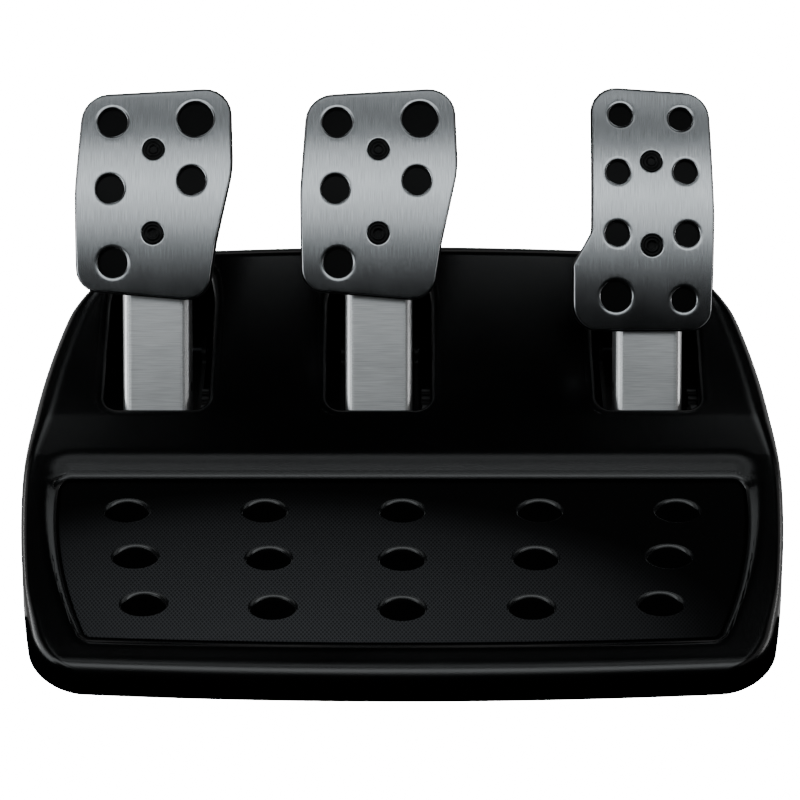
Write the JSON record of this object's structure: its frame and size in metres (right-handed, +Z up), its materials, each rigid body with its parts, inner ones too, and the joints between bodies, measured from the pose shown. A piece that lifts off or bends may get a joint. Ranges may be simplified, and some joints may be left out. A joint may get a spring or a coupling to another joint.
{
  "type": "sim racing pedal set",
  "caption": "Floor pedal unit for driving games: curved brushed-metal clutch, brake and throttle plates with round holes on sprung arms, in a black base with a dimpled heel mat.",
  "frame": {"origin": "on the floor under the middle of the housing's footprint, on the underside of the centre foot", "axes": "+X to the driver's right, +Y to the rear, away from the driver's heels, +Z up"},
  "size_m": [0.442, 0.3207, 0.1685],
  "materials": {
    "housing": "semi-gloss black with a fine grain",
    "base_plastic": "matt black",
    "mat": "matt black with a fine weave",
    "feet": "matt black",
    "fixings": "dark zinc",
    "brass": "turned",
    "brake_rubber": "matt dark red",
    "arm_metal": "satin silver",
    "nylon": "natural white",
    "bracket_steel": "black",
    "sensor_case": "dark blue-grey",
    "spring_steel": "drawn wire",
    "strut_plastic": "black",
    "plate_metal": "brushed along the plate",
    "pad_plastic": "matt black",
    "black_screws": "black oxide"
  },
  "bodies": {
    "base": {"upper_housing": "housing", "base_plate": "base_plastic", "heel_mat": "mat", "rubber_feet": "feet", "housing_screws": "fixings", "bracket_screws": "fixings", "sensor_screws": "fixings", "mount_inserts": "brass", "cable_gland": "feet", "clutch_bracket": "bracket_steel", "clutch_bushes": "nylon", "clutch_sensor": "sensor_case", "clutch_lower_pin": "fixings", "clutch_rest_bumper": "feet", "brake_bracket": "bracket_steel", "brake_bushes": "nylon", "brake_sensor": "sensor_case", "brake_lower_pin": "fixings", "brake_rest_bumper": "feet", "throttle_bracket": "bracket_steel", "throttle_bushes": "nylon", "throttle_sensor": "sensor_case", "throttle_lower_pin": "fixings", "throttle_rest_bumper": "feet"},
    "clutch_pedal": {"clutch_arm": "arm_metal", "clutch_axle": "fixings", "clutch_sector_gear": "nylon", "clutch_upper_pin": "fixings", "clutch_face_plate": "plate_metal", "clutch_backing_pad": "pad_plastic", "clutch_plate_screws": "black_screws"},
    "clutch_sensor_shaft": {"clutch_sensor_gear": "nylon"},
    "clutch_strut_rod": {"clutch_spring_rod": "strut_plastic", "clutch_spring": "spring_steel"},
    "clutch_strut_sleeve": {"clutch_spring_sleeve": "strut_plastic"},
    "brake_pedal": {"brake_arm": "arm_metal", "brake_axle": "fixings", "brake_sector_gear": "nylon", "brake_upper_pin": "fixings", "brake_face_plate": "plate_metal", "brake_backing_pad": "pad_plastic", "brake_plate_screws": "black_screws"},
    "brake_sensor_shaft": {"brake_sensor_gear": "nylon"},
    "brake_strut_rod": {"brake_spring_rod": "strut_plastic", "brake_spring": "spring_steel", "brake_rubber_block": "brake_rubber"},
    "brake_strut_sleeve": {"brake_spring_sleeve": "strut_plastic"},
    "throttle_pedal": {"throttle_arm": "arm_metal", "throttle_axle": "fixings", "throttle_sector_gear": "nylon", "throttle_upper_pin": "fixings", "throttle_face_plate": "plate_metal", "throttle_backing_pad": "pad_plastic", "throttle_plate_screws": "black_screws"},
    "throttle_sensor_shaft": {"throttle_sensor_gear": "nylon"},
    "throttle_strut_rod": {"throttle_spring_rod": "strut_plastic", "throttle_spring": "spring_steel"},
    "throttle_strut_sleeve": {"throttle_spring_sleeve": "strut_plastic"}
  },
  "joints": [
    {"name": "clutch_press", "type": "hinge", "parent": "base", "child": "clutch_pedal", "pos_m": [-0.1445, 0.02, 0.019], "axis": [-1, 0, 0], "range_deg": [0, 14], "stiffness_Nm_per_rad": 16, "springref_deg": -20.05},
    {"name": "clutch_sensor_turn", "type": "hinge", "parent": "base", "child": "clutch_sensor_shaft", "pos_m": [-0.1145, 0.04819, 0.02926], "axis": [-1, 0, 0], "range_deg": [-58, 0]},
    {"name": "clutch_strut_swing", "type": "hinge", "parent": "base", "child": "clutch_strut_rod", "pos_m": [-0.1445, 0.102, 0.016], "axis": [1, 0, 0], "range_deg": [0, 5.5]},
    {"name": "clutch_strut_slide", "type": "slide", "parent": "clutch_strut_rod", "child": "clutch_strut_sleeve", "axis": [0, -0.904, 0.4275], "range_m": [-0.0077, 0], "deforming": ["clutch_spring"]},
    {"name": "brake_press", "type": "hinge", "parent": "base", "child": "brake_pedal", "pos_m": [-0.0138, 0.02, 0.019], "axis": [-1, 0, 0], "range_deg": [0, 11], "stiffness_Nm_per_rad": 40, "springref_deg": -20.05},
    {"name": "brake_sensor_turn", "type": "hinge", "parent": "base", "child": "brake_sensor_shaft", "pos_m": [0.0162, 0.04819, 0.02926], "axis": [-1, 0, 0], "range_deg": [-46, 0]},
    {"name": "brake_strut_swing", "type": "hinge", "parent": "base", "child": "brake_strut_rod", "pos_m": [-0.0138, 0.102, 0.016], "axis": [1, 0, 0], "range_deg": [0, 4.5]},
    {"name": "brake_strut_slide", "type": "slide", "parent": "brake_strut_rod", "child": "brake_strut_sleeve", "axis": [0, -0.904, 0.4275], "range_m": [-0.0063, 0], "deforming": ["brake_spring"]},
    {"name": "throttle_press", "type": "hinge", "parent": "base", "child": "throttle_pedal", "pos_m": [0.1447, 0.02, 0.019], "axis": [-1, 0, 0], "range_deg": [0, 14], "stiffness_Nm_per_rad": 10, "springref_deg": -20.05},
    {"name": "throttle_sensor_turn", "type": "hinge", "parent": "base", "child": "throttle_sensor_shaft", "pos_m": [0.1747, 0.04819, 0.02926], "axis": [-1, 0, 0], "range_deg": [-58, 0]},
    {"name": "throttle_strut_swing", "type": "hinge", "parent": "base", "child": "throttle_strut_rod", "pos_m": [0.1447, 0.102, 0.016], "axis": [1, 0, 0], "range_deg": [0, 5.5]},
    {"name": "throttle_strut_slide", "type": "slide", "parent": "throttle_strut_rod", "child": "throttle_strut_sleeve", "axis": [0, -0.904, 0.4275], "range_m": [-0.0077, 0], "deforming": ["throttle_spring"]}
  ],
  "couplings": [
    {"joint": "clutch_sensor_turn", "follows": "clutch_press", "ratio": -4},
    {"joint": "clutch_strut_swing", "follows": "clutch_press", "ratio": 0.35418},
    {"joint": "clutch_strut_slide", "follows": "clutch_press", "m_per_rad": -0.030005},
    {"joint": "brake_sensor_turn", "follows": "brake_press", "ratio": -4},
    {"joint": "brake_strut_swing", "follows": "brake_press", "ratio": 0.33577},
    {"joint": "brake_strut_slide", "follows": "brake_press", "m_per_rad": -0.030581},
    {"joint": "throttle_sensor_turn", "follows": "throttle_press", "ratio": -4},
    {"joint": "throttle_strut_swing", "follows": "throttle_press", "ratio": 0.35418},
    {"joint": "throttle_strut_slide", "follows": "throttle_press", "m_per_rad": -0.030005}
  ]
}
